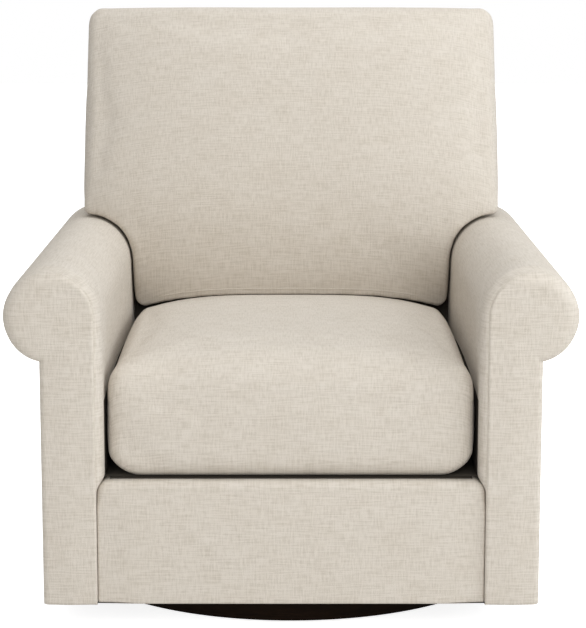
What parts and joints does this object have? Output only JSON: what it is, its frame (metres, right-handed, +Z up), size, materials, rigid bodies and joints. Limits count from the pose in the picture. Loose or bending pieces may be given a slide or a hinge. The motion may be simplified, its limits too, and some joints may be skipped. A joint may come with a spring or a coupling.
{
  "type": "swivel armchair",
  "caption": "Roll-arm upholstered armchair with loose seat and T-shaped back cushions that turns on a round ball-bearing plinth, in oatmeal linen weave.",
  "frame": {"origin": "on the floor at the swivel axis, the centre of the round plinth", "axes": "+Z up along the swivel axis, -Y the way the chair faces, +X to the right seen from the front"},
  "size_m": [0.938, 0.9468, 1.012],
  "materials": {
    "linen": "oatmeal linen weave",
    "foam": "cut upholstery foam",
    "lining_cloth": "plain dark platform cloth",
    "webbing": "woven elastic webbing",
    "dust_cloth": "thin black underside cloth",
    "frame_timber": "planed timber and plywood",
    "plinth_wood": "near-black brown satin stain",
    "floor_rubber": "matt",
    "race_steel": "zinc plated",
    "fastener_steel": "zinc plated",
    "spring_steel": "black oil finish",
    "bush_nylon": "natural nylon"
  },
  "bodies": {
    "base": {"floor_ring": "floor_rubber", "plinth": "plinth_wood", "lower_race": "race_steel", "race_screws": "fastener_steel", "pivot_bolt": "fastener_steel", "pivot_washer": "fastener_steel", "pivot_nut": "fastener_steel"},
    "bearing_cage": {"ball_cage": "race_steel", "bearing_balls": "race_steel"},
    "seat_cushion": {"seat_cushion_core": "foam", "seat_cushion_cover": "linen"},
    "back_cushion": {"back_cushion_core": "foam", "back_cushion_cover": "linen"},
    "chair": {"arm_pad_left": "linen", "arm_pad_right": "linen", "arm_facing_left": "linen", "arm_facing_right": "linen", "outside_arm_panel_left": "linen", "outside_arm_panel_right": "linen", "arm_rear_cap_left": "linen", "arm_rear_cap_right": "linen", "back_side_panel_left": "linen", "back_side_panel_right": "linen", "front_border": "linen", "back_top_panel": "linen", "outside_back_panel": "linen", "back_lining": "lining_cloth", "seat_deck": "lining_cloth", "back_webbing": "webbing", "dust_cover": "dust_cloth", "mount_board": "frame_timber", "cross_rails": "frame_timber", "front_rail": "frame_timber", "rear_rail": "frame_timber", "corner_blocks": "frame_timber", "back_top_rail": "frame_timber", "back_lower_rail": "frame_timber", "side_rail_left": "frame_timber", "side_rail_right": "frame_timber", "arm_front_board_left": "frame_timber", "arm_front_board_right": "frame_timber", "arm_rail_left": "frame_timber", "arm_rail_right": "frame_timber", "back_post_left": "frame_timber", "back_post_right": "frame_timber", "arm_former_left": "frame_timber", "arm_former_right": "frame_timber", "upper_race": "race_steel", "race_bolts": "fastener_steel", "race_nuts": "fastener_steel", "seat_springs": "spring_steel", "spring_clips": "spring_steel", "pivot_bush": "bush_nylon"}
  },
  "joints": [
    {"name": "swivel", "type": "hinge", "parent": "base", "child": "chair", "pos_m": [0, 0, 0.0447], "axis": [0, 0, 1], "continuous": true},
    {"name": "cage_turn", "type": "hinge", "parent": "base", "child": "bearing_cage", "pos_m": [0, 0, 0.0447], "axis": [0, 0, 1], "continuous": true},
    {"name": "seat_cushion_slide", "type": "slide", "parent": "chair", "child": "seat_cushion", "axis": [0, -1, 0], "range_m": [0, 0.7]},
    {"name": "back_cushion_lift", "type": "slide", "parent": "chair", "child": "back_cushion", "axis": [0, 0.2588, 0.9659], "range_m": [0, 0.55]}
  ],
  "couplings": [
    {"joint": "cage_turn", "follows": "swivel", "ratio": 0.5}
  ]
}
